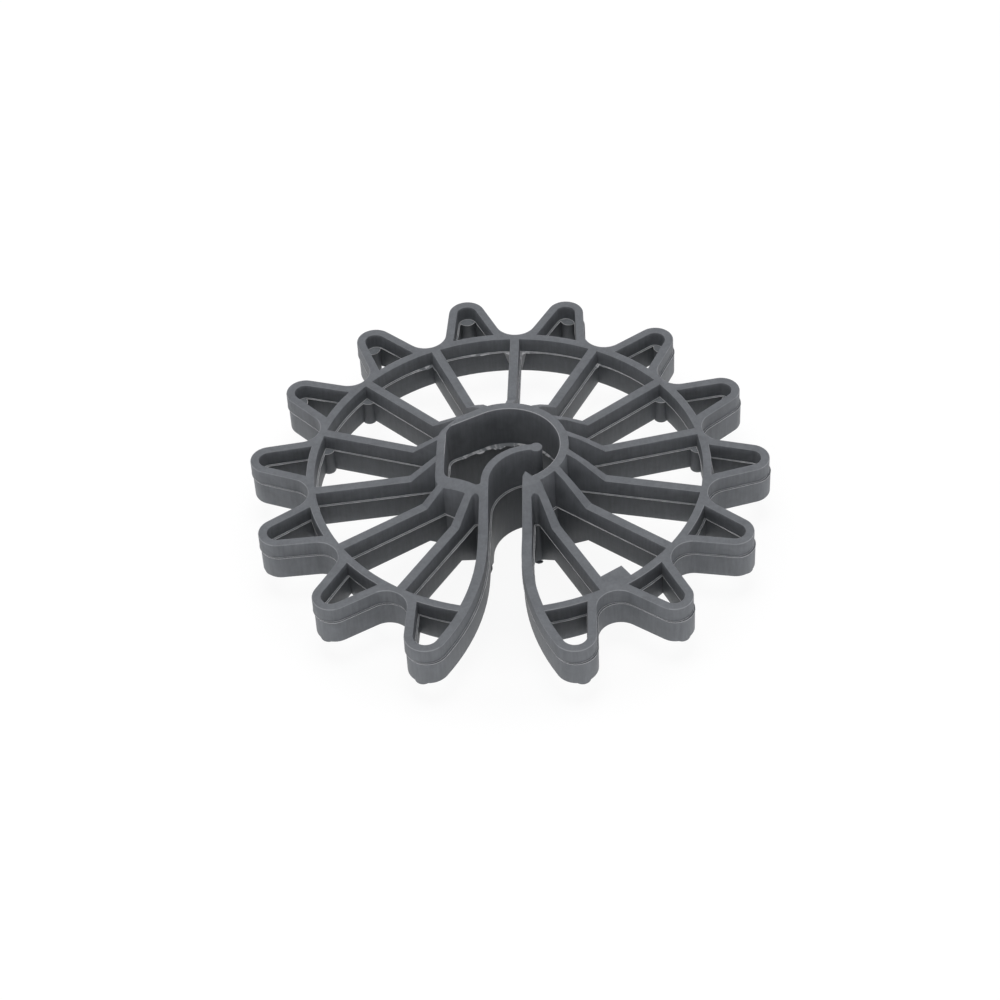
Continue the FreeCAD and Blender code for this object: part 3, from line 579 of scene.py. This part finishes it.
class SPACER_OT_films(bpy.types.Operator):
    """Add the films of flash that fill the corners beside the back spoke"""

    bl_idname = "spacer.films"
    bl_label = "Corner films"

    def execute(self, context):
        settings = context.scene.spacer
        bm = bmesh.new()
        pale_and_highlit = bm.verts.layers.float.new("pale_and_highlit")
        for x, y, along_ring, along_spoke, drop in FILMS:
            corner = Vector((x * MM, y * MM, PARTING))
            points = [corner + Vector(offset) * MM for offset in (
                (0.0, 0.0, 0.0),
                (along_ring, 0.0, 0.0),
                (0.0, -along_spoke, 0.0),
                (0.0, 0.0, -drop),
            )]
            bmesh.ops.convex_hull(bm, input=[bm.verts.new(point) for point in points])
        # The films are painted pale, partly as whitened flash and partly as painted light that brightens
        # them
        for vert in bm.verts:
            vert[pale_and_highlit] = settings.film_whitening_and_highlight
        bmesh.ops.recalc_face_normals(bm, faces=bm.faces)
        warp_wheel(bm, settings.warp)
        add_piece(object_from_bmesh(bm, "corner_films"), flash_material(settings))
        return {"FINISHED"}


class SPACER_OT_drips(bpy.types.Operator):
    """Add the two lumps of plastic that hang from lower edges beside the slot"""

    bl_idname = "spacer.drips"
    bl_label = "Drips"

    def execute(self, context):
        settings = context.scene.spacer
        bm = bmesh.new()
        for centre, radii in DRIPS:
            shape = Matrix.LocRotScale(Vector(centre) * MM, None, Vector(radii) * MM)
            bmesh.ops.create_uvsphere(bm, u_segments=20, v_segments=12, radius=1.0, matrix=shape)
        bm.normal_update()
        for vert in bm.verts:
            vert.co += vert.normal * DRIP_LUMP_HEIGHT * noise.noise(vert.co / DRIP_LUMP_SIZE)
            vert.co.z = max(vert.co.z, LOW_CORNER.z)
        for face in bm.faces:
            face.smooth = True
        warp_wheel(bm, settings.warp)
        add_piece(
            object_from_bmesh(bm, "drips"),
            plastic_material("drip_plastic", settings.plastic, settings.plastic_pale, settings.edge_wear_and_highlight),
        )
        return {"FINISHED"}


class SPACER_OT_stage(bpy.types.Operator):
    """Set up the floor, the light and the camera"""

    bl_idname = "spacer.stage"
    bl_label = "Stage"

    def execute(self, context):
        stage = context.scene.spacer_stage
        self.make_floor(stage)
        self.make_light(context, stage)
        self.make_camera(context, stage)
        context.scene.view_settings.view_transform = "Standard"
        return {"FINISHED"}

    @staticmethod
    def seen_rays(tree):
        """One for rays that show the background: from the camera, off gloss or through glass."""
        rays = tree.nodes.new("ShaderNodeLightPath")
        first = tree.nodes.new("ShaderNodeMath")
        first.operation = "MAXIMUM"
        tree.links.new(rays.outputs["Is Camera Ray"], first.inputs[0])
        tree.links.new(rays.outputs["Is Glossy Ray"], first.inputs[1])
        both = tree.nodes.new("ShaderNodeMath")
        both.operation = "MAXIMUM"
        tree.links.new(first.outputs["Value"], both.inputs[0])
        tree.links.new(rays.outputs["Is Transmission Ray"], both.inputs[1])
        return both.outputs["Value"]

    def make_floor(self, stage):
        """A wide pale floor that looks white but keeps a faint shadow, with painted shade under the hub,
        where the floor throws back less light.
        """
        bm = bmesh.new()
        bmesh.ops.create_circle(bm, cap_ends=True, segments=64, radius=FLOOR_RADIUS)
        floor = object_from_bmesh(bm, "floor")
        material = bpy.data.materials.new("floor_white")
        material.use_nodes = True
        tree = material.node_tree
        output = tree.nodes["Material Output"]
        shader = tree.nodes["Principled BSDF"]
        shader.inputs["Roughness"].default_value = 0.9
        shader.inputs["Specular IOR Level"].default_value = 0.0
        place = tree.nodes.new("ShaderNodeTexCoord")
        from_axis = tree.nodes.new("ShaderNodeVectorMath")
        from_axis.operation = "LENGTH"
        tree.links.new(place.outputs["Object"], from_axis.inputs[0])
        from_patch = tree.nodes.new("ShaderNodeVectorMath")
        from_patch.operation = "DISTANCE"
        from_patch.inputs[1].default_value = SHADE_PATCH_CENTRE
        tree.links.new(place.outputs["Object"], from_patch.inputs[0])
        # Painted shade: the floor is darker under the hub and throws back less light onto the wheel
        shade = tree.nodes.new("ShaderNodeMix")
        shade.data_type = "RGBA"
        shade.inputs["A"].default_value = (*stage.painted_floor_shade, 1.0)
        shade.inputs["B"].default_value = (*stage.floor, 1.0)
        faded = mapped(tree, from_patch.outputs["Value"], SHADE_PATCH_RADIUS, SHADE_PATCH_FADED, 0.0, 1.0)
        tree.links.new(faded, shade.inputs["Factor"])
        tree.links.new(shade.outputs["Result"], shader.inputs["Base Color"])
        lit = mapped(tree, from_axis.outputs["Value"], GLOW_FROM, GLOW_FULL, 0.0, 1.0)
        tree.links.new(lit, shader.inputs["Emission Color"])
        shader.inputs["Emission Strength"].default_value = stage.glow
        white = tree.nodes.new("ShaderNodeEmission")
        white.inputs["Strength"].default_value = 1.0
        share = tree.nodes.new("ShaderNodeMath")
        share.operation = "MULTIPLY"
        share.inputs[1].default_value = FLOOR_WHITE
        tree.links.new(self.seen_rays(tree), share.inputs[0])
        mix = tree.nodes.new("ShaderNodeMixShader")
        tree.links.new(share.outputs["Value"], mix.inputs["Fac"])
        tree.links.new(shader.outputs["BSDF"], mix.inputs[1])
        tree.links.new(white.outputs["Emission"], mix.inputs[2])
        tree.links.new(mix.outputs["Shader"], output.inputs["Surface"])
        floor.data.materials.append(material)

    def make_light(self, context, stage):
        """Low light from all round, as in a tent and strongest behind, and a softbox overhead."""
        world = bpy.data.worlds.new("studio")
        world.use_nodes = True
        tree = world.node_tree
        sky = tree.nodes["Background"]
        sky.inputs["Color"].default_value = (*stage.tent, 1.0)
        way = tree.nodes.new("ShaderNodeTexCoord")
        split = tree.nodes.new("ShaderNodeSeparateXYZ")
        tree.links.new(way.outputs["Generated"], split.inputs["Vector"])
        band = mapped(
            tree, split.outputs["Z"], math.sin(BAND_FULL), math.sin(BAND_FADED), stage.horizon, stage.sky,
        )
        turned = tree.nodes.new("ShaderNodeMath")
        turned.operation = "MULTIPLY"
        tree.links.new(band, turned.inputs[0])
        share = mapped(tree, split.outputs["Y"], -1.0, 1.0, FRONT_SHARE, BACK_SHARE)
        tree.links.new(share, turned.inputs[1])
        strength = tree.nodes.new("ShaderNodeMapRange")
        strength.inputs["To Max"].default_value = 1.0
        tree.links.new(self.seen_rays(tree), strength.inputs["Value"])
        tree.links.new(turned.outputs["Value"], strength.inputs["To Min"])
        tree.links.new(strength.outputs["Result"], sky.inputs["Strength"])
        context.scene.world = world

        lamp = bpy.data.lights.new("softbox", "AREA")
        lamp.shape = "DISK"
        lamp.size = SOFTBOX_WIDTH
        lamp.energy = stage.softbox
        box = bpy.data.objects.new("softbox", lamp)
        box.location = SOFTBOX_PLACE
        context.scene.collection.objects.link(box)

    def make_camera(self, context, stage):
        """The camera at the photograph's angle."""
        back = Vector((
            math.sin(stage.azimuth) * math.cos(stage.elevation),
            -math.cos(stage.azimuth) * math.cos(stage.elevation),
            math.sin(stage.elevation),
        ))
        level = Vector((math.cos(stage.azimuth), math.sin(stage.azimuth), 0.0))
        upright = back.cross(level)
        right = level * math.cos(stage.roll) + upright * math.sin(stage.roll)
        up = upright * math.cos(stage.roll) - level * math.sin(stage.roll)
        data = bpy.data.cameras.new("camera")
        data.sensor_width = SENSOR_WIDTH
        data.lens = stage.lens
        data.clip_start = 0.05
        data.clip_end = 20.0
        camera = bpy.data.objects.new("camera", data)
        turn = Matrix((right, up, back)).transposed().to_4x4()
        camera.matrix_world = Matrix.Translation(CAMERA_TARGET + back * stage.distance) @ turn
        context.scene.collection.objects.link(camera)
        context.scene.camera = camera


class SPACER_PT_panel(bpy.types.Panel):
    """Lists the settings and the steps"""

    bl_idname = "SPACER_PT_panel"
    bl_label = "Rebar wheel spacer"
    bl_space_type = "VIEW_3D"
    bl_region_type = "UI"
    bl_category = "Spacer"

    def draw(self, context):
        for settings in (context.scene.spacer, context.scene.spacer_stage):
            column = self.layout.column()
            for name in settings.__annotations__:
                column.prop(settings, name)
        for step in STEPS:
            self.layout.operator(step.bl_idname)


STEPS = (SPACER_OT_moulding, SPACER_OT_flash, SPACER_OT_films, SPACER_OT_drips, SPACER_OT_stage)
CLASSES = (SpacerSettings, StageSettings, *STEPS, SPACER_PT_panel)


def register():
    for cls in CLASSES:
        bpy.utils.register_class(cls)
    bpy.types.Scene.spacer = PointerProperty(type=SpacerSettings)
    bpy.types.Scene.spacer_stage = PointerProperty(type=StageSettings)


def unregister():
    del bpy.types.Scene.spacer_stage
    del bpy.types.Scene.spacer
    for cls in reversed(CLASSES):
        bpy.utils.unregister_class(cls)


def main():
    register()
    bpy.ops.spacer.moulding()
    bpy.ops.spacer.flash()
    bpy.ops.spacer.films()
    bpy.ops.spacer.drips()
    bpy.ops.spacer.stage()


if __name__ == "__main__":
    main()
